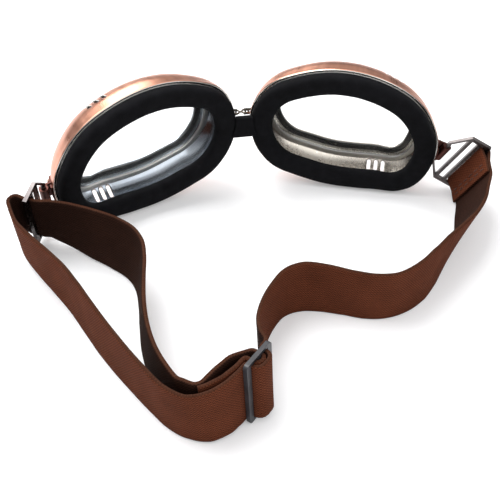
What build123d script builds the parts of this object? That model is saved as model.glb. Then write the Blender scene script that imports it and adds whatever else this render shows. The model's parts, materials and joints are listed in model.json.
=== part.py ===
"""Aviator flying goggles: two pressed metal eyecups, a foam nose bridge and an elastic strap.

The goggles lie on a table as they do when taken off. +Y looks forward through the lenses,
+X is the wearer's right, which is also the right of someone behind them, and +Z is up.
"""
import os
from math import cos, radians, sin, sqrt

from build123d import *

# Eyecup: a pressed steel bowl with a lens in its floor and its open side to the face
cup_width = 82.6
cup_height = 60.2
cup_depth = 16.0
shell_wall = 0.8
rim_depth = 1.6
rim_flare = 0.2
wrap_deg = 19.0
recline_deg = 8.0
nose_gap = 6.0
fit_gap = 0.25

# Outline of the eyecup's rim: places round it as shares of its half width and half height
outline_shares = [
    (1.0, -0.354),
    (0.812, 0.476),
    (0.257, 0.952),
    (-0.407, 0.933),
    (-0.9, 0.47),
    (-0.81, -0.632),
    (-0.272, -0.956),
    (0.357, -0.991),
    (0.812, -0.874),
]
# The bowl's profile: depth as a share of the cup's, and how far the wall has drawn in, as a
# share of the bowl's whole draw
bowl_draw = 9.2
bowl_shares = [(0.10, 0.0), (0.36, 0.08), (0.64, 0.30), (0.85, 0.60), (1.0, 1.0)]
lens_edge_inset = 11.8

# Lens and what holds it
flange_thickness = 0.8
gasket_thickness = 1.0
gasket_width = 2.9
lens_thickness = 1.4
retainer_height = 1.1
retainer_width = 2.2

# Vents: slots in the bowl's lower and upper outer walls
vent_count = 3
vent_width = 1.7
vent_length = 5.5
vent_pitch = 3.2
vent_reach = 12.0
vent_corner_share = 0.48
vent_place_shares = [(0.44, 0.60, -0.86), (0.42, 0.60, 0.86)]

# Foam face pad and the plate that it is glued to
pad_thickness = 5.2
pad_inset = 0.8
pad_width = 9.4
pad_crown_shares = [(0.0, 0.0), (0.68, 0.0), (0.90, 0.11), (1.0, 0.28)]
pad_plate_thickness = 0.8
pad_plate_width = 7.4

# Foam nose bridge
bridge_height = 9.7
bridge_thickness = 3.0
bridge_drop = 5.7
bridge_back = 3.4
bridge_top = 9.6
bridge_flare = 1.2
soft_gap = 0.35

# Nose chain: a figure-of-eight link on two upright pins
link_thickness = 0.9
link_eye = 3.7
link_hole = 2.4
link_pin = 0.8
link_pitch = 4.1
link_waist_share = 0.34
chain_rise = 1.9
chain_forward = 2.7
ear_thickness = 0.6
ear_width = 1.3
ear_gap = 0.2
ear_reach = 7.2

# Side lug: a strip riveted to the cup and curled round the buckle's inner bar
lug_width = 8.0
lug_strip = 0.9
lug_stand = 3.4
lug_forward = 3.6
lug_drop_share = 0.31
lug_foot_height = 7.8
lug_foot_reach = 7.2
bar_clearance = 0.08
rivet_diameter = 2.0
rivet_head = 0.6
rivet_spacing = 4.6
rivet_forward = 5.7

# Elastic strap
strap_width = 25.4
strap_thickness = 1.4
layer_gap = 0.1

# Strap buckle: a flat plate, narrow at the lug and wide at the strap
buckle_strap_room = 1.2
buckle_neck = 12.8
buckle_reach = 13.8
buckle_thickness = 1.6
shoulder_lead = 1.1
buckle_rail = 1.6
buckle_width = strap_width + buckle_strap_room + 2 * buckle_rail
buckle_bar = 1.9
buckle_crossbar = 1.5
strap_bar = 2.0
strap_slot = 2.2
free_slot = 2.6

# How each buckle hangs in the photograph: the way its bars point and the way it reaches out
right_bar_way = (0.295, -0.357, 0.886)
right_reach_way = (0.85, -0.385, -0.34)
right_lug_rise = 1.3
left_bar_way = (-0.04, -0.305, 0.95)
left_reach_way = (-0.42, -0.86, -0.25)

# Sewn ends and their stitches
turn_clearance = 1.35
sewn_length = 11.4
sewn_start = 5.2
sewn_turn_deg = 72.0
stitch_width = 0.5
stitch_rise = 0.2
stitch_length = 2.6
stitch_pitch = 3.7
stitch_count = 6
stitch_row_gap = 2.3
stitch_rows = 2
stitch_start = 6.6
loop_stitch_place = (-15.6, 6.01)
loop_stitch_deg = -23.1

# Strap slider: a frame with a bar across its middle
slider_width = 13.8
slider_thickness = 1.6
slider_side_bar = 2.2
slider_middle_bar = 1.6
slider_rail = 1.15
slider_strap_room = 0.3
slider_height = strap_width + slider_strap_room + 2 * slider_rail
slider_corner = 1.3
slider_place = (-20.8, -117.7)
slider_way = (0.73, 0.69)
slider_up = (-0.07, 0.01, 0.997)
slider_lift = 0.25

# Strap where it is folded round a bar: corners along the plate and through it, then the
# radius of each corner
left_turn_path = [
    (15.9, -6.4, 0.0), (9.2, -11.2, 2.6), (11.7, -2.8, 3.2), (11.7, 2.6, 3.0), (11.1, 5.3, 0.0),
]
weave_path = [
    (-13.5, 2.4, 0.0), (-8.5, 1.7, 4.0), (-3.75, 1.7, 1.1), (-3.75, -3.45, 2.6), (3.75, -3.45, 2.6),
    (3.75, 1.7, 1.1), (7.8, 1.7, 2.0), (10.2, 5.6, 0.0),
]
sewn_loop_path = [
    (-20.3, 16.5, 0.0), (-19.4, 8.9, 3.0), (-11.0, 8.5, 12.0), (-4.2, 7.5, 5.0), (1.9, 3.2, 2.0),
    (1.9, -1.9, 1.75), (-1.9, -1.9, 1.75), (-1.9, 3.45, 1.0), (-6.5, 3.6, 5.0), (-12.3, 4.6, 7.0),
    (-18.4, 7.2, 0.0),
]

# Routes of the strap on the table: shares of the straight line between a route's two ends,
# along it and to its left, then the lean of the strap's upper edge in X and Y, then how far
# the strap stands off the table
lead_route_shares = [
    (0.082, 0.040, 0.28, -0.28, 0.02),
    (0.142, 0.070, 0.26, -0.22, 0.01),
    (0.215, 0.093, 0.22, -0.18, 0.0),
    (0.294, 0.106, 0.15, -0.12, 0.0),
    (0.376, 0.117, 0.05, -0.05, 0.0),
    (0.454, 0.125, 0.0, -0.02, 0.0),
]
run_route_shares = [
    (0.527, 0.122, 0.0, -0.06, 0.0),
    (0.592, 0.101, 0.0, -0.12, 0.0),
    (0.635, 0.062, 0.0, -0.13, 0.0),
    (0.667, 0.008, -0.01, -0.13, 0.0),
    (0.697, -0.048, 0.0, -0.08, 0.0),
    (0.734, -0.093, 0.0, -0.03, 0.0),
    (0.782, -0.112, -0.01, -0.03, 0.0),
    (0.844, -0.102, -0.03, -0.04, 0.0),
    (0.913, -0.074, -0.05, -0.02, 0.01),
    (0.968, -0.036, -0.07, 0.02, 0.03),
]
outer_route_shares = [
    (0.016, 0.057, -0.07, -0.03, 0.02),
    (0.053, 0.094, -0.07, -0.12, 0.01),
    (0.114, 0.111, -0.09, -0.10, 0.0),
    (0.193, 0.109, -0.10, -0.04, 0.0),
    (0.275, 0.102, -0.09, -0.02, 0.0),
    (0.365, 0.092, -0.06, -0.01, 0.0),
    (0.463, 0.077, -0.03, -0.02, 0.0),
    (0.559, 0.058, -0.02, -0.04, 0.0),
    (0.653, 0.042, -0.02, -0.08, 0.0),
    (0.743, 0.037, -0.03, -0.14, 0.02),
    (0.836, 0.034, -0.04, -0.21, 0.05),
    (0.923, 0.026, -0.04, -0.28, 0.09),
]
inner_route_shares = [
    (0.055, 0.059, -0.02, -0.14, 0.07),
    (0.137, 0.113, 0.04, 0.0, 0.03),
    (0.224, 0.162, 0.09, 0.06, 0.01),
    (0.305, 0.190, 0.12, 0.05, 0.0),
    (0.380, 0.187, 0.13, 0.02, 0.0),
    (0.459, 0.157, 0.12, 0.0, 0.0),
    (0.556, 0.106, 0.09, 0.0, 0.0),
    (0.659, 0.057, 0.06, 0.0, 0.0),
    (0.757, 0.022, 0.02, 0.0, 0.0),
    (0.846, 0.003, -0.02, 0.0, 0.01),
    (0.925, -0.005, -0.06, 0.02, 0.03),
]

half_width = cup_width / 2
half_height = cup_height / 2


def direction(vector):
    """The unit vector along a vector."""
    return vector * (1 / vector.length)


def rim_frame():
    """Places, tangents and inward normals round the eyecup's rim."""
    places = [Vector(x * half_width, 0, z * half_height) for x, z in outline_shares]
    frame = []
    for index, place in enumerate(places):
        before = place - places[index - 1]
        after = places[(index + 1) % len(places)] - place
        ratio = after.length / before.length
        tangent = direction(before * ratio + after * (1 / ratio))
        frame.append((place, tangent, Vector(-tangent.Z, 0, tangent.X)))
    return frame


RIM = rim_frame()


def ring_wire(inset, depth):
    """The rim's outline drawn in by an inset and moved forward by a depth, as tangent arcs."""
    shift = Vector(0, depth, 0)
    places = [(place + inward * inset + shift, way) for place, way, inward in RIM]
    edges = []
    for index, (start, start_way) in enumerate(places):
        end, end_way = places[(index + 1) % len(places)]
        chord = end - start
        spread = 2 * (1 - start_way.dot(end_way))
        along = chord.dot(start_way + end_way)
        reach = (sqrt(along * along + spread * chord.dot(chord)) - along) / spread
        middle = (start + start_way * reach + end - end_way * reach) * 0.5
        middle_way = direction(end - end_way * reach - start - start_way * reach)
        edges.append(Edge.make_tangent_arc(start, start_way, middle))
        edges.append(Edge.make_tangent_arc(middle, middle_way, end))
    return Wire(edges)


def ring_slab(inset, depth, thickness):
    """A flat slab with the rim's outline."""
    return Solid.extrude(Face(ring_wire(inset, depth)), Vector(0, thickness, 0))


def ring_plate(outer_inset, inner_inset, depth, thickness):
    """A flat ring that follows the rim's outline."""
    return ring_slab(outer_inset, depth, thickness) - ring_slab(inner_inset, depth, thickness)


def stacked(levels, ruled=False):
    """A solid through the rim's outline at several depths and insets."""
    return Solid.make_loft([ring_wire(inset, depth) for depth, inset in levels], ruled)


def bowl_levels(extra):
    return [(cup_depth * depth, bowl_draw * draw + extra) for depth, draw in bowl_shares]


def bowl_inset(depth):
    """How far the bowl's outer wall has drawn in at a depth."""
    levels = bowl_levels(0)
    for (near, near_inset), (far, far_inset) in zip(levels, levels[1:]):
        if depth <= far:
            return near_inset + (depth - near) / (far - near) * (far_inset - near_inset)
    return levels[-1][1]


def make_shell():
    """The pressed bowl with its rolled rim, its lens flange and its vent slots."""
    rim = ring_plate(-rim_flare, shell_wall, 0, rim_depth)
    bowl = stacked(bowl_levels(0)) - stacked(bowl_levels(shell_wall))
    flange_start = cup_depth - flange_thickness
    flange = ring_plate(bowl_draw + shell_wall / 2, lens_edge_inset, flange_start, flange_thickness)
    shell = rim + bowl + flange
    slot = Box(vent_width, vent_length, vent_reach)
    slot = fillet(slot.edges().filter_by(Axis.Z), vent_width * vent_corner_share)
    for across, depth, up in vent_place_shares:
        for index in range(vent_count):
            offset = vent_pitch * (index - (vent_count - 1) / 2)
            shell = shell - Pos(half_width * across + offset, cup_depth * depth, half_height * up) * slot
    return shell


def lens_stack():
    """The gasket, the lens and the ring that springs in behind the lens."""
    gasket_start = cup_depth - flange_thickness - gasket_thickness
    lens_start = gasket_start - lens_thickness
    retainer_start = lens_start - retainer_height
    edge = shell_wall + fit_gap
    gasket_edge = bowl_inset(gasket_start + gasket_thickness) + edge
    lens_edge = bowl_inset(gasket_start) + edge
    retainer_edge = bowl_inset(lens_start) + edge
    gasket = ring_plate(gasket_edge, gasket_edge + gasket_width, gasket_start, gasket_thickness)
    lens = ring_slab(lens_edge, lens_start, lens_thickness)
    retainer_bore = retainer_edge + retainer_width
    retainer = ring_plate(retainer_edge, retainer_bore, retainer_start, retainer_height)
    return gasket, lens, retainer


def make_pad():
    """The foam ring, crowned toward the face."""
    outer = [(-pad_thickness * depth, pad_inset + pad_width * draw) for depth, draw in pad_crown_shares]
    inner = [(-pad_thickness * depth, pad_inset + pad_width * (1 - draw))
             for depth, draw in pad_crown_shares]
    return stacked(outer, True) - stacked(inner, True)


def make_pad_plate():
    edge = shell_wall + fit_gap
    return ring_plate(edge, edge + pad_plate_width, 0, pad_plate_thickness)


# Places that the two eyecups share
cup_turn = Rot(X=recline_deg) * Rot(Z=-wrap_deg)
rim_rest = -(cup_turn * ring_slab(-rim_flare, 0, rim_depth)).bounding_box().min.Z
cup_side = nose_gap / 2 + half_width * cos(radians(wrap_deg))
cup_place = Pos(cup_side, 0, rim_rest) * cup_turn
nose_tip = (cup_place * Pos(-half_width, 0, 0)).position
chain_centre = Vector(0, nose_tip.Y + chain_forward, nose_tip.Z + chain_rise)
lug_place = cup_place * Pos(half_width + lug_stand, lug_forward, -half_height * lug_drop_share)
bowl_block = cup_place * stacked(bowl_levels(0))
rim_block = cup_place * ring_slab(-rim_flare, 0, rim_depth)


def mirror_side(shape):
    return shape.mirror(Plane.YZ)


def hung_plane(origin, bar_way, reach_way):
    """A plane whose X runs along a plate and whose Z runs along its bars."""
    bar = direction(Vector(*bar_way))
    reach = Vector(*reach_way)
    return Plane(origin=origin, x_dir=direction(reach - bar * reach.dot(bar)), z_dir=bar)


right_lug = lug_place.position + Vector(0, 0, right_lug_rise)
left_lug = Vector(-lug_place.position.X, lug_place.position.Y, lug_place.position.Z)
right_hang = hung_plane(right_lug, right_bar_way, right_reach_way)
left_hang = hung_plane(left_lug, left_bar_way, left_reach_way)
cup_out = (cup_turn * Pos(1, 0, 0)).position
right_lug_hang = hung_plane(right_lug, right_bar_way, tuple(cup_out))
left_lug_hang = hung_plane(left_lug, left_bar_way, (-cup_out.X, cup_out.Y, cup_out.Z))
slider_rise = slider_height / 2 * slider_up[2] + slider_width / 2 * abs(slider_up[0]) + slider_lift
slider_hang = hung_plane(
    Vector(slider_place[0], slider_place[1], slider_rise), slider_up, (slider_way[0], slider_way[1], 0))


def make_nose_lug():
    """A clevis on the cup's nose wall, with the pin that the chain link hangs on."""
    ear = Box(ear_reach, ear_width, ear_thickness, align=(Align.MIN, Align.CENTER, Align.CENTER))
    lift = link_thickness / 2 + ear_gap + ear_thickness / 2
    start = link_pitch / 2 - ear_width / 2
    pin = Pos(link_pitch / 2, 0, 0) * Cylinder(link_pin / 2, 2 * lift)
    lug = Pos(chain_centre) * (Pos(start, 0, lift) * ear + Pos(start, 0, -lift) * ear + pin)
    trimmed = lug - bowl_block - rim_block
    return max(trimmed.solids(), key=lambda solid: solid.bounding_box().size.Z)


def make_link():
    """The figure-of-eight link that joins the two clevises."""
    half = link_pitch / 2
    eyes = Pos(half, 0, 0) * Cylinder(link_eye / 2, link_thickness)
    eyes += Pos(-half, 0, 0) * Cylinder(link_eye / 2, link_thickness)
    eyes += Box(link_pitch, link_eye * link_waist_share, link_thickness)
    for side in (half, -half):
        eyes -= Pos(side, 0, 0) * Cylinder(link_hole / 2, link_thickness)
    return Pos(chain_centre) * eyes


def make_bridge_pad():
    """The foam strip between the two face pads."""
    top = bridge_top / 2
    low = top + bridge_flare
    half = bridge_height / 2
    corners = [(-top, half), (top, half), (low, -half), (-low, -half)]
    profile = make_face(Polyline(*corners, close=True))
    strip = extrude(Plane.XZ * profile, bridge_thickness)
    strip = Pos(0, nose_tip.Y - bridge_back, nose_tip.Z - bridge_drop + half) * strip
    grown = [(-pad_thickness * depth - soft_gap, pad_inset + pad_width * draw - soft_gap)
             for depth, draw in pad_crown_shares]
    keep_off = cup_place * stacked([(rim_depth, pad_inset - soft_gap)] + grown, True)
    return strip - keep_off - mirror_side(keep_off)


def flat_plate(points, thickness):
    """A plate in the hanging plane's XZ, centred on its bars."""
    return extrude(Plane.XZ * make_face(Polyline(*points, close=True)), thickness / 2, both=True)


def make_buckle():
    """A plate with a round lug bar, a window, a free slot and the strap's slot."""
    neck = buckle_neck / 2
    wide = buckle_width / 2
    front = buckle_reach + strap_bar / 2
    back = -buckle_bar / 2
    slot_end = buckle_reach - strap_bar / 2
    slot_start = slot_end - strap_slot
    free_end = slot_start - buckle_crossbar
    free_start = free_end - free_slot
    window_end = free_start - buckle_crossbar
    shoulder = free_start - shoulder_lead
    plate = flat_plate([
        (back, -neck), (back, neck), (shoulder, wide), (front, wide), (front, -wide), (shoulder, -wide),
    ], buckle_thickness)
    through = 2 * buckle_thickness
    inner = wide - buckle_rail
    for near, far in ((slot_start, slot_end), (free_start, free_end)):
        plate -= Pos((near + far) / 2, 0, 0) * Box(far - near, through, 2 * inner)
    neck_inner = neck - buckle_rail
    slope = (wide - neck) / (shoulder - back)
    window_half = neck_inner + slope * (window_end - back)
    plate -= flat_plate([
        (back, -neck_inner), (back, neck_inner), (window_end, window_half), (window_end, -window_half),
    ], through)
    return plate + Cylinder(buckle_bar / 2, 2 * neck_inner + buckle_rail)


def make_side_lug(hang, side, bowl, rim, foot):
    """The strip curled round the buckle's bar, with the foot that is riveted to the cup."""
    hole = buckle_bar / 2 + bar_clearance
    outer = hole + lug_strip
    arm = Box(2 * lug_stand, lug_strip, lug_width, align=(Align.MAX, Align.CENTER, Align.CENTER))
    curl = Cylinder(outer, lug_width) + Pos(0, side * (outer - lug_strip / 2), 0) * arm
    curl = hang.location * (curl - Cylinder(hole, 2 * lug_width))
    lug = (curl - bowl - rim) + foot - hang.location * Cylinder(hole, 2 * lug_width)
    return max(lug.solids(), key=lambda solid: solid.volume)


def hug_layer(start, end):
    """A layer of metal outside the bowl, from one height above its wall to another."""
    outer = stacked([(depth, inset - end) for depth, inset in bowl_levels(0)])
    return outer - stacked([(depth, inset - start) for depth, inset in bowl_levels(0)])


def make_foot():
    """The part of the lug that hugs the bowl."""
    window = Pos(half_width, rim_depth, -half_height * lug_drop_share) * Box(
        lug_foot_height, lug_foot_reach, lug_foot_height, align=(Align.CENTER, Align.MIN, Align.CENTER))
    return cup_place * (hug_layer(0, lug_strip) & window)


def make_rivets():
    """The two rivet heads on the lug's foot."""
    layer = hug_layer(lug_strip, lug_strip + rivet_head)
    heads = []
    for side in (-1, 1):
        rise = side * rivet_spacing / 2 - half_height * lug_drop_share
        shank = Pos(half_width, rim_depth + rivet_forward, rise) * Rot(Y=90) * Cylinder(
            rivet_diameter / 2, lug_foot_height)
        heads += list((cup_place * (layer & shank)).solids())
    return heads


def round_path(corners, offset):
    """The edges of a path with rounded corners, moved sideways by an offset."""
    places = [Vector(x, y, 0) for x, y, radius in corners]
    ways = [direction(end - start) for start, end in zip(places, places[1:])]
    sides = [Vector(-way.Y, way.X, 0) for way in ways]
    edges = []
    start = places[0] + sides[0] * offset
    for index in range(1, len(places) - 1):
        radius = corners[index][2]
        before, after = ways[index - 1], ways[index]
        turn = before.X * after.Y - before.Y * after.X
        reach = radius * abs(turn) / (1 + before.dot(after))
        corner_start = places[index] - before * reach + sides[index - 1] * offset
        corner_end = places[index] + after * reach + sides[index] * offset
        edges.append(Edge.make_line(start, corner_start))
        edges.append(Edge.make_tangent_arc(corner_start, before, corner_end))
        start = corner_end
    edges.append(Edge.make_line(start, places[-1] + sides[-1] * offset))
    return edges


def band(corners, hang):
    """The strap along a path in a hanging plane."""
    left = round_path(corners, strap_thickness / 2)
    right = round_path(corners, -strap_thickness / 2)
    ends = [Edge.make_line(left[0] @ 0, right[0] @ 0), Edge.make_line(left[-1] @ 1, right[-1] @ 1)]
    outline = Face(Wire(left + right + ends))
    body = Solid.extrude(outline, Vector(0, 0, strap_width))
    return hang.location * Pos(0, 0, -strap_width / 2) * body


def hang_point(hang, x, y):
    return hang.from_local_coords(Vector(x, y, 0))


def hang_way(hang, x, y):
    return direction(hang_point(hang, x, y) - hang.origin)


def route_stations(start, end, shares):
    """Places, ways and leans of the strap between two ends, standing on the table."""
    chord = end[0] - start[0]
    chord = Vector(chord.X, chord.Y, 0)
    left = Vector(-chord.Y, chord.X, 0)
    stations = [start]
    for along, aside, lean_x, lean_y, rise in shares:
        up = Vector(lean_x, lean_y, sqrt(1 - lean_x * lean_x - lean_y * lean_y))
        flat = start[0] + chord * along + left * aside
        tip = strap_thickness / 2 * sqrt(lean_x * lean_x + lean_y * lean_y)
        height = strap_width * (up.Z / 2 + rise) + tip
        stations.append([Vector(flat.X, flat.Y, height), None, up])
    stations.append(end)
    for index in range(1, len(stations) - 1):
        stations[index][1] = direction(stations[index + 1][0] - stations[index - 1][0])
    return stations


def ribbon(stations):
    """A smooth length of strap through its stations."""
    wires = []
    for place, way, up in stations:
        side = direction(up.cross(way)) * (strap_thickness / 2)
        rise = direction(up) * (strap_width / 2)
        top, bottom = place + rise, place - rise
        corners = [top + side, top - side, bottom - side, bottom + side]
        wires.append(Wire.make_polygon(corners, close=True))
    return Solid.make_loft(wires)


def path_end(hang, corners, last):
    """The place, the way onward and the lean of a folded path's end."""
    near, far = (corners[-2], corners[-1]) if last else (corners[1], corners[0])
    way = hang_way(hang, far[0] - near[0], far[1] - near[1])
    return [hang_point(hang, far[0], far[1]), way, hang.z_dir]


def reverse(end):
    return [end[0], end[1] * -1, end[2]]


def make_right_end():
    """The strap folded round the right buckle's bar and sewn to itself."""
    ring = turn_clearance + strap_thickness
    half = strap_thickness + layer_gap / 2
    seam = Edge.make_line((sewn_start, -half, 0), (sewn_start, half, 0))
    hull = make_hull([Edge.make_circle(ring), seam])
    sewn = Pos((sewn_start + sewn_length) / 2, 0, 0) * Rectangle(sewn_length - sewn_start, 2 * half)
    tip = Edge.make_line((sewn_start - strap_thickness, -layer_gap / 2, 0),
                         (sewn_start - strap_thickness, layer_gap / 2, 0))
    void = make_hull([Edge.make_circle(turn_clearance), tip])
    outline = (hull + sewn) - void
    body = extrude(outline, strap_width / 2, both=True)
    return right_hang.location * Pos(buckle_reach, 0, 0) * Rot(Z=-sewn_turn_deg) * body


def sewn_end():
    """Where the single strap goes on from the right sewn end."""
    turn = radians(-sewn_turn_deg)
    aside = (strap_thickness + layer_gap) / 2
    x = buckle_reach + sewn_length * cos(turn) - aside * sin(turn)
    y = sewn_length * sin(turn) + aside * cos(turn)
    return [hang_point(right_hang, x, y), hang_way(right_hang, cos(turn), sin(turn)), right_hang.z_dir]


def make_slider():
    """The frame and its middle bar."""
    frame = Box(slider_width, slider_thickness, slider_height)
    frame = fillet(frame.edges().filter_by(Axis.Y), slider_corner)
    window = (slider_width - slider_middle_bar) / 2 - slider_side_bar
    offset = (slider_middle_bar + window) / 2
    window_height = slider_height - 2 * slider_rail
    for side in (-1, 1):
        frame -= Pos(side * offset, 0, 0) * Box(window, 2 * slider_thickness, window_height)
    return slider_hang.location * frame


def stitch_rows_on(place):
    """Rows of stitches across the strap, lying on a face whose normal is the place's Y."""
    on_face = (Align.CENTER, Align.MIN, Align.CENTER)
    stitch = Box(stitch_width, stitch_rise, stitch_length, align=on_face)
    stitches = []
    for row in range(stitch_rows):
        for index in range(stitch_count):
            rise = (index - (stitch_count - 1) / 2) * stitch_pitch
            stitches.append(place * Pos(row * stitch_row_gap, 0, rise) * stitch)
    return stitches


def make_stitching():
    """The stitches of the right sewn end, on both faces, and of the loop's folded end."""
    sewn_place = right_hang.location * Pos(buckle_reach, 0, 0) * Rot(Z=-sewn_turn_deg)
    face = strap_thickness + layer_gap / 2
    inside = sewn_place * Pos(stitch_start, -face, 0) * Rot(X=180)
    right = stitch_rows_on(sewn_place * Pos(stitch_start, face, 0)) + stitch_rows_on(inside)
    x, y = loop_stitch_place
    loop_face = Pos(x, y, 0) * Rot(Z=loop_stitch_deg) * Pos(0, -strap_thickness / 2, 0) * Rot(X=180)
    return right, stitch_rows_on(slider_hang.location * loop_face)


nodes = {}


def keep(name, shape):
    solids = list(shape) if isinstance(shape, list) else list(shape.solids())
    nodes[name] = solids[0] if len(solids) == 1 else Compound(children=solids)


shell = cup_place * make_shell()
gasket, lens, retainer = [cup_place * piece for piece in lens_stack()]
foot = make_foot()
rivets = make_rivets()
keep("right_side_lug", make_side_lug(right_lug_hang, 1, bowl_block, rim_block, foot))
keep("left_side_lug", make_side_lug(
    left_lug_hang, -1, mirror_side(bowl_block), mirror_side(rim_block), mirror_side(foot)))
keep("right_lug_rivets", rivets)
keep("left_lug_rivets", [mirror_side(head) for head in rivets])
paired = {
    "cup_shell": shell,
    "lens_gasket": gasket,
    "lens": lens,
    "lens_retainer": retainer,
    "face_pad": cup_place * make_pad(),
    "pad_plate": cup_place * make_pad_plate(),
    "nose_lug": make_nose_lug(),
}
for name, shape in paired.items():
    keep("right_" + name, shape)
    keep("left_" + name, mirror_side(shape))
keep("nose_link", make_link())
keep("nose_bridge_pad", make_bridge_pad())
keep("right_buckle", right_hang.location * make_buckle())
keep("left_buckle", left_hang.location * make_buckle())
keep("strap_slider", make_slider())

lead = route_stations(
    sewn_end(), reverse(path_end(slider_hang, weave_path, True)), lead_route_shares + run_route_shares)
split = len(lead_route_shares) + 1
outer = route_stations(
    path_end(slider_hang, weave_path, False), reverse(path_end(left_hang, left_turn_path, False)),
    outer_route_shares)
inner = route_stations(
    path_end(left_hang, left_turn_path, True), reverse(path_end(slider_hang, sewn_loop_path, False)),
    inner_route_shares)
keep("strap_right_end", make_right_end())
keep("strap_right_lead", ribbon(lead[:split]))
keep("strap_right_run", ribbon(lead[split - 1:]))
keep("strap_slider_weave", band(weave_path, slider_hang))
keep("strap_outer_band", ribbon(outer))
keep("strap_left_turn", band(left_turn_path, left_hang))
keep("strap_inner_band", ribbon(inner))
keep("strap_sewn_loop", band(sewn_loop_path, slider_hang))
right_stitches, loop_stitches = make_stitching()
keep("right_end_stitching", right_stitches)
keep("sewn_loop_stitching", loop_stitches)

lows = [tuple(shape.bounding_box().min) for shape in nodes.values()]
highs = [tuple(shape.bounding_box().max) for shape in nodes.values()]
low = Vector(*[min(values) for values in zip(*lows)])
high = Vector(*[max(values) for values in zip(*highs)])
to_origin = Pos(-(low.X + high.X) / 2, -(low.Y + high.Y) / 2, -low.Z)
os.makedirs("parts", exist_ok=True)
for name, shape in nodes.items():
    export_step(to_origin * shape, "parts/" + name + ".step")
print("moved", to_origin.position, "size", high - low)
print("right lug", right_lug, right_hang.x_dir, right_hang.z_dir)
print("left lug", left_lug, left_hang.x_dir, left_hang.z_dir)
print("rim", rim_rest, "side", cup_side)
print("chain", chain_centre, "slider", slider_hang.origin, slider_hang.x_dir)
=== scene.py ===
"""Aviator flying goggles on a white table: finishes, soft parts, light and camera."""
import json
from math import acos, ceil, cos, pi, radians, sin, sqrt

import bmesh
import bpy
from mathutils import Matrix, Vector, noise


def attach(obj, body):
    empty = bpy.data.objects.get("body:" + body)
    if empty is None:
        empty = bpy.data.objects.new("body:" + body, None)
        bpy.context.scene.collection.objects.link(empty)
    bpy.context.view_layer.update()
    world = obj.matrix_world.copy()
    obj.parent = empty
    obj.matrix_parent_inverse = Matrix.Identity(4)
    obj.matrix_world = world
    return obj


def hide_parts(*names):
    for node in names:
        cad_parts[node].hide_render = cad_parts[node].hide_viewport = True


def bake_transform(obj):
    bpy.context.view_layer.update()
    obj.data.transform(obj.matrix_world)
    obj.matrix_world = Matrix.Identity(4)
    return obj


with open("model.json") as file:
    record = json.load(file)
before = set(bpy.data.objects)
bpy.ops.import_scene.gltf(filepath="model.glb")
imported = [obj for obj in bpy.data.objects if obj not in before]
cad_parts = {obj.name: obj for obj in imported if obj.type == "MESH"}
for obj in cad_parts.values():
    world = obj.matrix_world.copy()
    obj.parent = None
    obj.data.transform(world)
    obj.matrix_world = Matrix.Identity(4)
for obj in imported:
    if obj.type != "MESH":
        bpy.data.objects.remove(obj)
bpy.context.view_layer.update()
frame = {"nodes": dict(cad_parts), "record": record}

MM = 0.001
OWNER = {node: body for body, nodes in frame["record"]["behaviour"]["bodies"].items() for node in nodes}

# Eyecup: the same outline and levels as the solids, in millimetres from the cup's own middle
OUTLINE = [(1.0, -0.354), (0.812, 0.476), (0.257, 0.952), (-0.407, 0.933), (-0.9, 0.47),
           (-0.81, -0.632), (-0.272, -0.956), (0.357, -0.991), (0.812, -0.874)]
HALF_WIDTH = 41.3
HALF_HEIGHT = 30.1
CUP_DEPTH = 16.0
BOWL_DRAW = 9.2
WALL = 0.8
RIM_END = 1.6  # where the rolled rim passes into the wall
FLANGE_BACK = 15.2
RIM_PITCH = 0.00126  # metres of rim between two places of the outline
VENT_GROUPS = ((0.44, 0.60, -0.86), (0.42, 0.60, 0.86))  # shares of half width, depth and half height
VENT_PITCH = 3.2
VENT_SIZE = Matrix.Diagonal((1.7, 5.5, 12, 1))
VENT_CORNER = 0.8
MOVED = Vector((-1.98988, 51.5859, 0.095604))
CUP_TURN = Matrix.Rotation(radians(8), 4, "X") @ Matrix.Rotation(radians(-19), 4, "Z")
CUP_PLACE = Matrix.Translation((42.04992, 0, 30.53119)) @ CUP_TURN
RIGHT_CUP = Matrix.Scale(MM, 4) @ Matrix.Translation(MOVED) @ CUP_PLACE
LEFT_CUP = Matrix.Scale(MM, 4) @ Matrix.Translation(MOVED) @ Matrix.Diagonal((-1, 1, 1, 1)) @ CUP_PLACE
CHAIN = Vector((-1.98988, 67.601, 34.3981)) * MM
LINK_RING = 1.45
LINK_WIRE = 0.4
LINK_HALF_PITCH = 2.05
BRIDGE_WIDEN = 0.00055
FOAM_CELL = 0.00045

# Hanging planes: origin, the way along the plate and the way along its bars
RIGHT_HANG = (Vector((83.497, 41.844, 21.135)), Vector((0.8332, -0.3578, -0.4216)),
              Vector((0.2951, -0.3571, 0.8862)))
LEFT_HANG = (Vector((-87.477, 41.844, 19.835)), Vector((-0.4233, -0.8573, -0.2931)),
             Vector((-0.0401, -0.3054, 0.9514)))
SLIDER_HANG = (Vector((-22.790, -66.114, 14.787)), Vector((0.7244, 0.6880, 0.0440)),
               Vector((-0.0700, 0.0100, 0.9975)))

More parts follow.
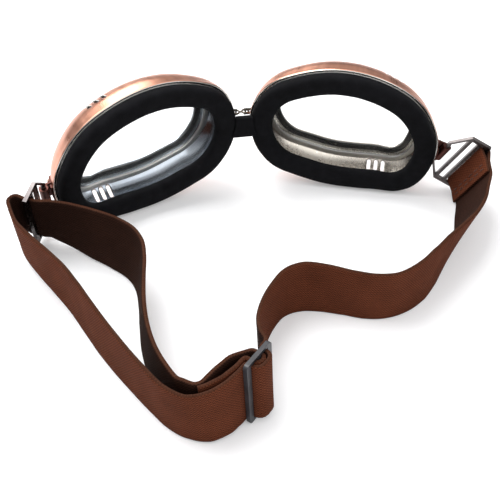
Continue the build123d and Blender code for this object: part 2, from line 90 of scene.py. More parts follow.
# Strap: free lengths as places with the lean of the upper edge, and folds in a hanging plane
STRAP_THICKNESS = 1.4
HALF_THICK = STRAP_THICKNESS / 2
RIGHT_LENGTH = [
    (87.6, 15.1, 12.5, 0.28, -0.28), (83.2, 6.8, 12.5, 0.26, -0.22), (76.9, -1.7, 12.5, 0.22, -0.18),
    (69.0, -9.6, 12.7, 0.15, -0.12), (60.7, -17.5, 12.8, 0.05, -0.05), (52.5, -24.8, 12.8, 0.0, -0.02),
    (44.0, -30.4, 12.8, 0.0, -0.06), (35.0, -33.3, 12.8, 0.0, -0.12), (27.0, -32.4, 12.8, 0.0, -0.13),
    (19.0, -28.9, 12.8, -0.01, -0.13), (11.0, -25.0, 12.8, 0.0, -0.08), (3.2, -22.9, 12.8, 0.0, -0.03),
    (-3.8, -24.7, 12.8, -0.01, -0.03), (-9.9, -30.8, 12.8, -0.03, -0.04),
    (-15.4, -39.6, 13.1, -0.05, -0.02), (-18.6, -48.4, 13.6, -0.07, 0.02),
]
OUTER_LENGTH = [
    (-41.2, -75.7, 13.3, -0.07, -0.03), (-47.5, -74.3, 13.0, -0.07, -0.12),
    (-53.3, -69.0, 12.8, -0.09, -0.10), (-58.3, -60.7, 12.8, -0.10, -0.04),
    (-63.0, -51.6, 12.8, -0.09, -0.02), (-67.8, -41.6, 12.8, -0.06, -0.01),
    (-72.7, -30.3, 12.8, -0.03, -0.02), (-77.1, -19.0, 12.8, -0.02, -0.04),
    (-81.6, -8.2, 12.8, -0.02, -0.08), (-87.0, 1.6, 13.3, -0.03, -0.14),
    (-92.8, 11.5, 13.9, -0.04, -0.21), (-97.7, 21.1, 14.8, -0.04, -0.28),
]
INNER_LENGTH = [
    (-79.5, 27.0, 14.5, -0.02, -0.14), (-71.0, 21.0, 13.6, 0.04, 0.0), (-62.8, 14.4, 13.1, 0.09, 0.06),
    (-56.9, 7.5, 12.8, 0.12, 0.05), (-54.4, 0.0, 12.8, 0.13, 0.02), (-54.3, -8.9, 12.8, 0.12, 0.0),
    (-55.5, -20.4, 12.8, 0.09, 0.0), (-56.4, -32.4, 12.8, 0.06, 0.0), (-56.0, -43.4, 12.8, 0.02, 0.0),
    (-54.5, -52.9, 13.1, -0.02, 0.0), (-52.2, -60.9, 13.6, -0.06, 0.02),
]
BUCKLE_REACH = 13.8
SEWN_TURN = -72.0
SEWN_LOOP_TURN = -23.1
STITCH_ROW = 2.3
STITCH_PITCH = 3.7
SEWN_STITCHES = Matrix.Translation((6.6, 1.45, 0))
SEWN_STITCHES_BACK = Matrix.Translation((6.6, -1.45, 0)) @ Matrix.Rotation(pi, 4, "X")
STRAP_STEP = 1.1
FOLD_STEP = 2.2
FOLD_ARC = radians(24)
FOLD_CLOSEST = 0.25
RIGHT_END_FOLD = [(11.4, -0.75, 0.0), (5.2, -0.75, 4.0), (-2.05, -2.4, 2.05), (-2.05, 2.4, 2.05),
                  (5.2, 0.75, 4.0), (11.4, 0.75, 0.0)]
LEFT_TURN_FOLD = [(15.9, -6.4, 0.0), (9.2, -11.2, 2.6), (11.7, -2.8, 3.2), (11.7, 2.6, 3.0), (11.1, 5.3, 0.0)]
WEAVE_FOLD = [(10.2, 5.6, 0.0), (7.8, 1.7, 2.0), (3.75, 1.7, 1.1), (3.75, -3.45, 2.6), (-3.75, -3.45, 2.6),
              (-3.75, 1.7, 1.1), (-8.5, 1.7, 4.0), (-13.5, 2.4, 0.0)]
LOOP_FOLD = [(-20.3, 16.5, 0.0), (-19.4, 8.9, 3.0), (-11.0, 8.5, 12.0), (-4.2, 7.5, 5.0), (1.9, 3.2, 2.0),
             (1.9, -1.9, 1.75), (-1.9, -1.9, 1.75), (-1.9, 3.45, 1.0), (-6.5, 3.6, 5.0), (-12.3, 4.6, 7.0),
             (-17.4, 6.8, 6.0), (-20.0, 8.5, 0.0)]


# Finishes

def group(name, inputs, outputs):
    """An empty shader group with its sockets, and its two end nodes."""
    tree = bpy.data.node_groups.new(name, "ShaderNodeTree")
    for label, kind, value in inputs:
        socket = tree.interface.new_socket(name=label, in_out="INPUT", socket_type=kind)
        if value is not None:
            socket.default_value = value
    for label, kind in outputs:
        tree.interface.new_socket(name=label, in_out="OUTPUT", socket_type=kind)
    return tree, tree.nodes.new("NodeGroupInput"), tree.nodes.new("NodeGroupOutput")


def node(tree, kind, **values):
    """A node with its settings and its unlinked sockets filled in."""
    made = tree.nodes.new(kind)
    for key, value in values.items():
        if key.startswith("in_"):
            made.inputs[int(key[3:])].default_value = value
        else:
            setattr(made, key, value)
    return made


def surface_wear():
    """Fine streaks and smudges: a roughness, a colour mask and a relief, for every metal."""
    tree, start, end = group(
        "surface wear",
        [("Vector", "NodeSocketVector", None), ("Stretch", "NodeSocketVector", (1.0, 1.0, 1.0)),
         ("Grain", "NodeSocketFloat", 900.0), ("Smudge", "NodeSocketFloat", 60.0),
         ("Smooth", "NodeSocketFloat", 0.2), ("Rough", "NodeSocketFloat", 0.4),
         ("Relief", "NodeSocketFloat", 0.1)],
        [("Roughness", "NodeSocketFloat"), ("Mask", "NodeSocketFloat"), ("Normal", "NodeSocketVector")])
    link = tree.links.new
    stretch = node(tree, "ShaderNodeVectorMath", operation="MULTIPLY")
    grain = node(tree, "ShaderNodeTexNoise", in_3=3.0)
    smudge = node(tree, "ShaderNodeTexNoise", in_3=4.0)
    blend = node(tree, "ShaderNodeMix", data_type="FLOAT", in_0=0.55)
    spread = node(tree, "ShaderNodeMapRange", in_1=0.32, in_2=0.68)
    bump = node(tree, "ShaderNodeBump")
    bump.inputs["Distance"].default_value = 0.0001
    link(start.outputs["Vector"], stretch.inputs[0])
    link(start.outputs["Stretch"], stretch.inputs[1])
    link(stretch.outputs[0], grain.inputs["Vector"])
    link(start.outputs["Grain"], grain.inputs["Scale"])
    link(start.outputs["Vector"], smudge.inputs["Vector"])
    link(start.outputs["Smudge"], smudge.inputs["Scale"])
    link(grain.outputs[0], blend.inputs[2])
    link(smudge.outputs[0], blend.inputs[3])
    link(blend.outputs[0], spread.inputs[0])
    link(start.outputs["Smooth"], spread.inputs[3])
    link(start.outputs["Rough"], spread.inputs[4])
    link(grain.outputs[0], bump.inputs["Height"])
    link(start.outputs["Relief"], bump.inputs["Strength"])
    link(spread.outputs[0], end.inputs["Roughness"])
    link(smudge.outputs[0], end.inputs["Mask"])
    link(bump.outputs[0], end.inputs["Normal"])
    return tree


def weave_relief():
    """Ribs along the strap crossed by fine picks: a height and a colour mask, from metres of cloth."""
    tree, start, end = group(
        "weave relief",
        [("Vector", "NodeSocketVector", None), ("Rib Pitch", "NodeSocketFloat", 0.0012),
         ("Pick Pitch", "NodeSocketFloat", 0.0010)],
        [("Height", "NodeSocketFloat"), ("Mask", "NodeSocketFloat")])
    link = tree.links.new
    split = node(tree, "ShaderNodeSeparateXYZ")
    link(start.outputs["Vector"], split.inputs[0])

    def wave(axis, pitch, phase):
        count = node(tree, "ShaderNodeMath", operation="DIVIDE")
        link(split.outputs[axis], count.inputs[0])
        link(start.outputs[pitch], count.inputs[1])
        turn = node(tree, "ShaderNodeMath", operation="MULTIPLY_ADD", in_1=2 * pi, in_2=phase)
        link(count.outputs[0], turn.inputs[0])
        made = node(tree, "ShaderNodeMath", operation="SINE")
        link(turn.outputs[0], made.inputs[0])
        return made.outputs[0]

    rib = wave(1, "Rib Pitch", 0.0)
    pick = wave(0, "Pick Pitch", 0.7)
    cross = node(tree, "ShaderNodeMath", operation="MULTIPLY")
    link(rib, cross.inputs[0])
    link(pick, cross.inputs[1])
    sum_up = node(tree, "ShaderNodeMath", operation="MULTIPLY_ADD", in_1=0.35)
    link(rib, sum_up.inputs[0])
    link(cross.outputs[0], sum_up.inputs[2])
    fuzz = node(tree, "ShaderNodeTexNoise", in_2=2600.0, in_3=2.0)
    link(start.outputs["Vector"], fuzz.inputs["Vector"])
    height = node(tree, "ShaderNodeMath", operation="MULTIPLY_ADD", in_1=0.3)
    link(sum_up.outputs[0], height.inputs[0])
    link(fuzz.outputs[0], height.inputs[2])
    mask = node(tree, "ShaderNodeMapRange", in_1=0.1, in_2=0.9)
    link(height.outputs[0], mask.inputs[0])
    link(height.outputs[0], end.inputs["Height"])
    link(mask.outputs[0], end.inputs["Mask"])
    return tree


WEAR = surface_wear()
WEAVE = weave_relief()


def blank(name, **sockets):
    """A material with the shader's own sockets set."""
    made = bpy.data.materials.new(name)
    made.use_nodes = True
    shader = made.node_tree.nodes["Principled BSDF"]
    for key, value in sockets.items():
        shader.inputs[key.replace("_", " ")].default_value = value
    return made, made.node_tree, shader


def metal(name, light, dark, smooth, rough, grain=900.0, smudge=60.0, relief=0.08, stretch=(1, 1, 1),
          use_uv=False):
    """A metal with streaks, smudges and a shift between two colours."""
    made, tree, shader = blank(name, Metallic=1.0)
    place = node(tree, "ShaderNodeTexCoord")
    wear = node(tree, "ShaderNodeGroup", node_tree=WEAR)
    wear.inputs["Stretch"].default_value = stretch
    wear.inputs["Grain"].default_value = grain
    wear.inputs["Smudge"].default_value = smudge
    wear.inputs["Smooth"].default_value = smooth
    wear.inputs["Rough"].default_value = rough
    wear.inputs["Relief"].default_value = relief
    tint = node(tree, "ShaderNodeValToRGB")
    tint.color_ramp.elements[0].position = 0.35
    tint.color_ramp.elements[0].color = (*dark, 1)
    tint.color_ramp.elements[1].position = 0.62
    tint.color_ramp.elements[1].color = (*light, 1)
    if use_uv:
        draw = node(tree, "ShaderNodeVectorMath", operation="MULTIPLY", in_1=(1.0, 0.12, 1.0))
        tree.links.new(place.outputs["UV"], draw.inputs[0])
        tree.links.new(draw.outputs[0], wear.inputs["Vector"])
    else:
        tree.links.new(place.outputs["Object"], wear.inputs["Vector"])
    tree.links.new(wear.outputs["Mask"], tint.inputs[0])
    tree.links.new(tint.outputs[0], shader.inputs["Base Color"])
    tree.links.new(wear.outputs["Roughness"], shader.inputs["Roughness"])
    tree.links.new(wear.outputs["Normal"], shader.inputs["Normal"])
    return made


def foam(name, light, dark, pore=1500.0, relief=0.5):
    """Matt sponge rubber: fine open pores over slow unevenness."""
    made, tree, shader = blank(name, Roughness=0.9)
    shader.inputs["Specular IOR Level"].default_value = 0.12
    place = node(tree, "ShaderNodeTexCoord")
    pores = node(tree, "ShaderNodeTexVoronoi", feature="F1")
    pores.inputs["Scale"].default_value = pore
    slow = node(tree, "ShaderNodeTexNoise", in_2=240.0, in_3=3.0)
    both = node(tree, "ShaderNodeMath", operation="MULTIPLY_ADD", in_1=0.6)
    tint = node(tree, "ShaderNodeValToRGB")
    tint.color_ramp.elements[0].position = 0.25
    tint.color_ramp.elements[0].color = (*dark, 1)
    tint.color_ramp.elements[1].position = 0.75
    tint.color_ramp.elements[1].color = (*light, 1)
    bump = node(tree, "ShaderNodeBump")
    bump.inputs["Strength"].default_value = relief
    bump.inputs["Distance"].default_value = 0.0002
    link = tree.links.new
    link(place.outputs["Object"], pores.inputs["Vector"])
    link(place.outputs["Object"], slow.inputs["Vector"])
    link(pores.outputs["Distance"], both.inputs[0])
    link(slow.outputs[0], both.inputs[2])
    link(slow.outputs[0], tint.inputs[0])
    link(tint.outputs[0], shader.inputs["Base Color"])
    link(both.outputs[0], bump.inputs["Height"])
    link(bump.outputs[0], shader.inputs["Normal"])
    return made


def elastic(name):
    """Woven red-brown elastic: the much darker inside face is painted shade, and the paler selvedges are
    partly a painted highlight of the lit edge.
    """
    made, tree, shader = blank(name, Roughness=0.9)
    shader.inputs["Specular IOR Level"].default_value = 0.06
    place = node(tree, "ShaderNodeTexCoord")
    face = node(tree, "ShaderNodeAttribute", attribute_name="face")
    tone = node(tree, "ShaderNodeValToRGB")
    ramp = tone.color_ramp
    # Ramp from the inside face (0) over the selvedges to the outside face (1): the dark inside steps are
    # painted shade, and the selvedge steps are partly a painted highlight.
    ramp.elements[0].position = 0.0
    ramp.elements[0].color = (0.034, 0.014, 0.009, 1)
    ramp.elements[1].position = 1.0
    ramp.elements[1].color = (0.118, 0.034, 0.016, 1)
    for position, colour in ((0.22, (0.035, 0.015, 0.010, 1)), (0.40, (0.070, 0.028, 0.016, 1)),
                             (0.62, (0.062, 0.022, 0.012, 1)), (0.86, (0.085, 0.027, 0.014, 1))):
        step = ramp.elements.new(position)
        step.color = colour
    weave = node(tree, "ShaderNodeGroup", node_tree=WEAVE)
    deep = node(tree, "ShaderNodeMix", data_type="RGBA", blend_type="MULTIPLY", in_0=1.0)
    shade = node(tree, "ShaderNodeMapRange", in_1=0.0, in_2=1.0, in_3=0.28, in_4=1.4)
    slow = node(tree, "ShaderNodeTexNoise", in_2=90.0, in_3=3.0)
    drift = node(tree, "ShaderNodeMapRange", in_1=0.3, in_2=0.7, in_3=0.88, in_4=1.1)
    both = node(tree, "ShaderNodeMath", operation="MULTIPLY")
    bump = node(tree, "ShaderNodeBump")
    bump.inputs["Strength"].default_value = 0.75
    bump.inputs["Distance"].default_value = 0.00018
    link = tree.links.new
    link(place.outputs["UV"], weave.inputs["Vector"])
    link(place.outputs["UV"], slow.inputs["Vector"])
    link(face.outputs["Fac"], tone.inputs[0])
    link(weave.outputs["Mask"], shade.inputs[0])
    link(slow.outputs[0], drift.inputs[0])
    link(shade.outputs[0], both.inputs[0])
    link(drift.outputs[0], both.inputs[1])
    link(tone.outputs[0], deep.inputs[6])
    link(both.outputs[0], deep.inputs[7])
    link(deep.outputs[2], shader.inputs["Base Color"])
    link(weave.outputs["Height"], bump.inputs["Height"])
    link(bump.outputs[0], shader.inputs["Normal"])
    return made


def clear_lens(name):
    """Clear lens: light passes it without a shadow."""
    made, tree, shader = blank(name, Base_Color=(0.97, 0.985, 0.98, 1), Roughness=0.0, IOR=1.45,
                               Transmission_Weight=1.0)
    place = node(tree, "ShaderNodeTexCoord")
    haze = node(tree, "ShaderNodeTexNoise", in_2=70.0, in_3=3.0)
    spread = node(tree, "ShaderNodeMapRange", in_1=0.35, in_2=0.75, in_3=0.0, in_4=0.008)
    path = node(tree, "ShaderNodeLightPath")
    clear = node(tree, "ShaderNodeBsdfTransparent")
    mix = node(tree, "ShaderNodeMixShader")
    out = tree.nodes["Material Output"]
    link = tree.links.new
    link(place.outputs["Object"], haze.inputs["Vector"])
    link(haze.outputs[0], spread.inputs[0])
    link(spread.outputs[0], shader.inputs["Roughness"])
    link(path.outputs["Is Shadow Ray"], mix.inputs[0])
    link(shader.outputs[0], mix.inputs[1])
    link(clear.outputs[0], mix.inputs[2])
    link(mix.outputs[0], out.inputs["Surface"])
    return made


def rubber(name):
    """Black moulded rubber, a little worn."""
    made, tree, shader = blank(name, Base_Color=(0.02, 0.02, 0.021, 1), Roughness=0.5)
    place = node(tree, "ShaderNodeTexCoord")
    wear = node(tree, "ShaderNodeGroup", node_tree=WEAR)
    wear.inputs["Smooth"].default_value = 0.4
    wear.inputs["Rough"].default_value = 0.65
    tree.links.new(place.outputs["Object"], wear.inputs["Vector"])
    tree.links.new(wear.outputs["Roughness"], shader.inputs["Roughness"])
    tree.links.new(wear.outputs["Normal"], shader.inputs["Normal"])
    return made


def paint(name, light, dark, smooth, rough, relief=0.1, coat=0.0):
    """Satin paint over metal, a little uneven."""
    made, tree, shader = blank(name, Coat_Weight=coat)
    place = node(tree, "ShaderNodeTexCoord")
    wear = node(tree, "ShaderNodeGroup", node_tree=WEAR)
    wear.inputs["Smooth"].default_value = smooth
    wear.inputs["Rough"].default_value = rough
    wear.inputs["Relief"].default_value = relief
    wear.inputs["Smudge"].default_value = 220.0
    tint = node(tree, "ShaderNodeValToRGB")
    tint.color_ramp.elements[0].position = 0.4
    tint.color_ramp.elements[0].color = (*dark, 1)
    tint.color_ramp.elements[1].position = 0.65
    tint.color_ramp.elements[1].color = (*light, 1)
    tree.links.new(place.outputs["Object"], wear.inputs["Vector"])
    tree.links.new(wear.outputs["Mask"], tint.inputs[0])
    tree.links.new(tint.outputs[0], shader.inputs["Base Color"])
    tree.links.new(wear.outputs["Roughness"], shader.inputs["Roughness"])
    tree.links.new(wear.outputs["Normal"], shader.inputs["Normal"])
    return made


COPPER = metal("brushed copper plate", (0.78, 0.39, 0.27), (0.64, 0.295, 0.195), 0.24, 0.42, grain=1.0,
               smudge=240.0, relief=0.4, stretch=(2600.0, 900.0, 1.0), use_uv=True)
# Both cups have the same nickel inside. The right cup's lighter, warmer copy is painted light, and the left
# cup's darker, bluer copy is painted shade.
INSIDE = {
    "right": metal("nickel inside, painted warm light", (0.60, 0.56, 0.50), (0.48, 0.44, 0.39), 0.20, 0.36, smudge=35.0,
                   relief=0.02),
    "left": metal("nickel inside, painted cool shade", (0.36, 0.39, 0.43), (0.28, 0.31, 0.35), 0.10, 0.22, smudge=35.0,
                  relief=0.02),
}
RIM_METAL = metal("bright rolled rim", (0.72, 0.71, 0.68), (0.5, 0.47, 0.43), 0.14, 0.3)
RING_METAL = metal("lens ring plating", (0.72, 0.71, 0.69), (0.62, 0.61, 0.60), 0.30, 0.45, smudge=30.0,
                   relief=0.02)
# The chain wire's dark base colour is painted dark reflection. It stands in for the dark surroundings that
# the polished wire mirrors, and the nose clevises share it.
WIRE_METAL = metal("polished chain wire", (0.17, 0.15, 0.12), (0.07, 0.06, 0.05), 0.10, 0.25)
LUG_METAL = metal("aged copper lug", (0.13, 0.055, 0.045), (0.06, 0.028, 0.024), 0.30, 0.5)
RIVET_METAL = metal("rivet brass", (0.35, 0.22, 0.14), (0.2, 0.12, 0.08), 0.25, 0.45)
BUCKLE_METAL = metal("gunmetal plating", (0.20, 0.18, 0.175), (0.09, 0.08, 0.08), 0.2, 0.4)
FOAM = foam("black sponge rubber", (0.0068, 0.0069, 0.0085), (0.0032, 0.0032, 0.004))
ELASTIC = elastic("woven brown elastic")
THREAD = paint("dark brown thread", (0.10, 0.04, 0.025), (0.05, 0.02, 0.013), 0.6, 0.85, relief=0.5)
SLIDER_PAINT = paint("dark grey slider enamel", (0.035, 0.036, 0.042), (0.02, 0.021, 0.025), 0.3, 0.45,
                     coat=0.1)
LENS_CLEAR = clear_lens("clear lens")
GASKET = rubber("black gasket rubber")


# Shapes

def finish(bm, name, place, materials, angle=35.0):
    """A mesh object from a bmesh drawn in millimetres, smooth but for its sharp edges."""
    bmesh.ops.transform(bm, matrix=place, verts=bm.verts)
    bmesh.ops.recalc_face_normals(bm, faces=bm.faces)
    mesh = bpy.data.meshes.new(name)
    bm.to_mesh(mesh)
    bm.free()
    mesh.shade_smooth()
    mesh.set_sharp_from_angle(angle=radians(angle))
    made = bpy.data.objects.new(name, mesh)
    bpy.context.scene.collection.objects.link(made)
    for each in materials:
        mesh.materials.append(each)
    return made


def apply_all(made):
    """The object's mesh with its modifiers worked in."""
    graph = bpy.context.evaluated_depsgraph_get()
    mesh = bpy.data.meshes.new_from_object(made.evaluated_get(graph))
    made.modifiers.clear()
    made.data = mesh
    return made


def skin(bm, count, rings, closed):
    """A skin over rings with the same number of places; closed joins the last to the first."""
    order = bm.verts.layers.int.new("order")
    level = bm.verts.layers.int.new("level")
    bmesh.ops.create_circle(bm, segments=count, radius=1.0)
    bm.verts.ensure_lookup_table()
    for index, vert in enumerate(bm.verts):
        vert[order] = index
        vert.co = rings[0][index]
    first = list(bm.edges)
    edges = first
    for step, ring in enumerate(rings[1:], 1):
        out = bmesh.ops.extrude_edge_only(bm, edges=edges)["geom"]
        new = {item for item in out if isinstance(item, bmesh.types.BMVert)}
        for vert in new:
            vert.co = ring[vert[order]]
            vert[level] = step
        edges = [item for item in out if isinstance(item, bmesh.types.BMEdge) and set(item.verts) <= new]
    if closed:
        bmesh.ops.bridge_loops(bm, edges=first + edges)
    else:
        bmesh.ops.holes_fill(bm, edges=first + edges, sides=0)
    return order, level


def arc_places(start, way, end, count):
    """Places along the arc that leaves start in a given way and reaches end."""
    chord = end - start
    lean = way.angle_signed(chord) if chord.length > 0 else 0
    places = []
    for step in range(count):
        part = step / count
        if abs(lean) < 0.0001:
            places.append(start + chord * part)
        else:
            turned = Matrix.Rotation(-lean * part, 2) @ way
            places.append(start + turned * (chord.length * sin(lean * part) / sin(lean)))
    return places


def rim_places(inset, steps=10):
    """The eyecup's outline, drawn in by an inset."""
    corners = [Vector((x * HALF_WIDTH, z * HALF_HEIGHT)) for x, z in OUTLINE]
    marks = []
    for index, corner in enumerate(corners):
        before = corner - corners[index - 1]
        after = corners[(index + 1) % len(corners)] - corner
        ratio = after.length / before.length
        way = (before * ratio + after / ratio).normalized()
        marks.append((corner + Vector((-way.y, way.x)) * inset, way))
    places = []
    for index, (start, start_way) in enumerate(marks):
        end, end_way = marks[(index + 1) % len(marks)]
        chord = end - start
        spread = 2 * (1 - start_way.dot(end_way))
        along = chord.dot(start_way + end_way)
        reach = (sqrt(along * along + spread * chord.dot(chord)) - along) / spread
        middle = (start + start_way * reach + end - end_way * reach) / 2
        middle_way = (end - end_way * reach - start - start_way * reach).normalized()
        places += arc_places(start, start_way, middle, steps)
        places += arc_places(middle, middle_way, end, steps)
    return places


def rim_rings(levels):
    """Rings of the outline at each (depth, inset)."""
    return [[Vector((p.x, depth, p.y)) for p in rim_places(inset)] for depth, inset in levels]


def smooth_through(points, parts):
    """Points on a Catmull-Rom line through the given ones."""
    ends = [points[0] * 2 - points[1], *points, points[-1] * 2 - points[-2]]
    made = []
    for index in range(1, len(ends) - 2):
        a, b, c, d = ends[index - 1:index + 3]
        gaps = [max((q - p).length, 0.000001) ** 0.5 for p, q in ((a, b), (b, c), (c, d))]
        t0, t1 = 0.0, gaps[0]
        t2, t3 = t1 + gaps[1], t1 + gaps[1] + gaps[2]
        count = parts if isinstance(parts, int) else parts[index - 1]
        for step in range(count):
            t = t1 + (t2 - t1) * step / count
            ab = a.lerp(b, (t - t0) / (t1 - t0))
            bc = b.lerp(c, (t - t1) / (t2 - t1))
            cd = c.lerp(d, (t - t2) / (t3 - t2))
            abc = ab.lerp(bc, (t - t0) / (t2 - t0))
            bcd = bc.lerp(cd, (t - t1) / (t3 - t1))
            made.append(abc.lerp(bcd, (t - t1) / (t2 - t1)))
    made.append(points[-1].copy())
    return made


def bowl_wall(extra, start):
    """The bowl's wall as (depth, inset) levels, from a depth on."""
    shares = [(0.10, 0.0), (0.36, 0.08), (0.64, 0.30), (0.85, 0.60), (1.0, 1.0)]
    marks = [Vector((CUP_DEPTH * depth, BOWL_DRAW * draw)) for depth, draw in shares]
    return [(mark.x, mark.y + extra) for mark in smooth_through(marks, 4) if mark.x >= start]


def mark_faces(bm, level, pick):
    """Each face's material, picked from the lowest and highest level that it touches."""
    for face in bm.faces:
        levels = sorted(vert[level] for vert in face.verts)
        face.material_index = pick(levels[0], levels[-1])


def lay_uv(bm, name, chart):
    """A UV map from a function of a vertex, in metres."""
    layer = bm.loops.layers.uv.new(name)
    for face in bm.faces:
        for loop in face.loops:
            loop[layer].uv = chart(loop.vert)


def make_cup(side, place):
    """The pressed bowl: rolled rim, drawn wall, lens flange and vent slots."""
    # Levels round the wall's section, from the rolled rim over the outside and back along the inside
    rim_out = [(0.0, 0.35), (0.06, 0.08), (0.28, -0.12), (0.62, -0.2), (1.0, -0.18), (1.35, -0.06)]
    outer = [mark for mark in bowl_wall(0, RIM_END) if mark[0] < FLANGE_BACK]
    front = [(15.55, 8.0), (15.85, 8.75), (15.98, 9.5), (16.0, 10.2), (16.0, 11.5), (15.85, 11.75),
             (15.5, 11.8), (15.22, 11.68), (FLANGE_BACK, 11.2), (FLANGE_BACK, 10.1)]
    inner = [mark for mark in reversed(bowl_wall(WALL, RIM_END)) if mark[0] < FLANGE_BACK - 0.2]
    rim_in = [(1.2, 0.8), (0.5, 0.8), (0.14, 0.72)]
    levels = rim_out + outer + front + inner + rim_in
    rings = rim_rings(levels)
    bm = bmesh.new()
    order, level = skin(bm, len(rings[0]), rings, True)
    last_out = len(rim_out) + len(outer) + 4
    total = len(levels) - 1

    def pick(low, high):
        """Bright at the rolled edge, copper outside and nickel inside."""
        if high - low > 1 or high <= 2 or low >= total - 3:
            return 2
        return 0 if high <= last_out else 1

    mark_faces(bm, level, pick)
    steps = [0.0]
    for before, after in zip(levels, levels[1:]):
        steps.append(steps[-1] + (Vector(after) - Vector(before)).length)
    lay_uv(bm, "along wall", lambda vert: (vert[order] * RIM_PITCH, steps[vert[level]] * MM))
    cup = finish(bm, side + "_cup_pressing", place, [COPPER, INSIDE[side], RIM_METAL])
    knife = bmesh.new()
    for across, depth, up in VENT_GROUPS:
        for step in (-1, 0, 1):
            at = Vector((HALF_WIDTH * across + VENT_PITCH * step, CUP_DEPTH * depth, HALF_HEIGHT * up))
            made = bmesh.ops.create_cube(knife, size=1, matrix=Matrix.Translation(at) @ VENT_SIZE)
            upright = [edge for edge in {edge for vert in made["verts"] for edge in vert.link_edges}
                       if abs(edge.verts[0].co.z - edge.verts[1].co.z) > 1]
            bmesh.ops.bevel(knife, geom=upright, offset=VENT_CORNER, segments=5, profile=0.5,
                            affect="EDGES", material=-1)
    blade = finish(knife, side + "_vent_punch", place, [RIM_METAL])
    cut = cup.modifiers.new("vents", "BOOLEAN")
    cut.operation = "DIFFERENCE"
    cut.solver = "EXACT"
    cut.object = blade
    apply_all(cup)
    bpy.data.objects.remove(blade)
    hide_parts(side + "_cup_shell")
    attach(cup, OWNER[side + "_cup_shell"])


def make_face_pad(side, place):
    """The foam ring: flat on its plate, crowned to the face, a little uneven."""
    profile = [(0.0, 1.1), (-0.5, 0.8), (-1.6, 0.72), (-3.0, 0.85), (-4.1, 1.3), (-4.85, 2.3), (-5.15, 3.8),
               (-5.2, 5.4), (-5.08, 7.0), (-4.7, 8.4), (-4.0, 9.4), (-3.0, 10.0), (-1.6, 10.2), (-0.5, 10.1),
               (0.0, 9.8)]
    rings = rim_rings(profile)
    bm = bmesh.new()
    skin(bm, len(rings[0]), rings, True)
    for vert in bm.verts:
        if vert.co.y < -0.2:
            slow, quick = noise.noise(vert.co * 0.16), noise.noise(vert.co * 0.6)
            vert.co.y += slow * 0.16 + quick * 0.05
    pad = finish(bm, side + "_foam_face_pad", place, [FOAM], angle=60)
    rounder = pad.modifiers.new("rounder", "SUBSURF")
    rounder.levels = 1
    rounder.render_levels = 1
    apply_all(pad)
    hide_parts(side + "_face_pad")
    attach(pad, OWNER[side + "_face_pad"])


def merged_copy(name):
    """A bmesh of a CAD node with its loose triangles joined into clean faces."""
    bm = bmesh.new()
    bm.from_mesh(frame["nodes"][name].data)
    bmesh.ops.remove_doubles(bm, verts=bm.verts, dist=0.000002)
    return bm


def dress(name, label, material, bevel=0.0, clean=0.3, angle=32.0):
    """A hard CAD piece with softened edges, in its own finish."""
    bm = merged_copy(name)
    if clean:
        bmesh.ops.dissolve_limit(bm, angle_limit=radians(clean), verts=bm.verts, edges=bm.edges)
    made = finish(bm, label, Matrix.Identity(4), [material], angle)
    if bevel:
        soft = made.modifiers.new("soft edges", "BEVEL")
        soft.width = bevel * MM
        soft.segments = 3
        soft.limit_method = "ANGLE"
        soft.angle_limit = radians(angle)
        soft.harden_normals = True
        apply_all(made)
    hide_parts(name)
    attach(made, OWNER[name])
    return made


def hang_matrix(hang):
    """From a hanging plane's millimetres to the frame's metres."""
    origin, along, bar = hang
    across = bar.cross(along)
    turn = Matrix((along, across, bar)).transposed().to_4x4()
    return Matrix.Scale(MM, 4) @ Matrix.Translation(origin) @ turn


def fold_marks(corners, matrix):
    """Places and upper-edge ways along a path with rounded corners in a hanging plane."""
    flat = [Vector((corners[0][0], corners[0][1]))]
    for index in range(1, len(corners) - 1):
        before, corner, after = [Vector(corners[index + shift][:2]) for shift in (-1, 0, 1)]
        radius = corners[index][2]
        way_in = (corner - before).normalized()
        way_out = (after - corner).normalized()
        turn = acos(max(-1, min(1, way_in.dot(way_out))))
        reach = radius * sin(turn) / (1 + cos(turn))
        begin = corner - way_in * reach
        gap = (begin - flat[-1]).length
        straights = int(gap / FOLD_STEP)
        for step in range(1, straights + 1):
            flat.append(flat[-1].lerp(begin, 1 / (straights + 2 - step)))
        parts = max(2, ceil(turn / FOLD_ARC))
        flat += arc_places(begin, way_in, corner + way_out * reach, parts) + [corner + way_out * reach]
    last = Vector(corners[-1][:2])
    flat += [flat[-1].lerp(last, 0.5), last]
    up = (matrix.to_3x3() @ Vector((0, 0, 1))).normalized()
    clean = [flat[0]]
    for place in flat[1:]:
        if (place - clean[-1]).length > FOLD_CLOSEST:
            clean.append(place)
    return [(matrix @ Vector((place.x, place.y, 0)), up) for place in clean]


def table_marks(rows):
    """Places and upper-edge ways of a free length of strap."""
    return [(Vector((x, y, z)) * MM, Vector((a, b, sqrt(1 - a * a - b * b)))) for x, y, z, a, b in rows]


def sewn_end_place():
    """Where the strap's sewn end turns round the right buckle's last bar."""
    return (hang_matrix(RIGHT_HANG) @ Matrix.Translation((BUCKLE_REACH, 0, 0))
            @ Matrix.Rotation(radians(SEWN_TURN), 4, "Z"))


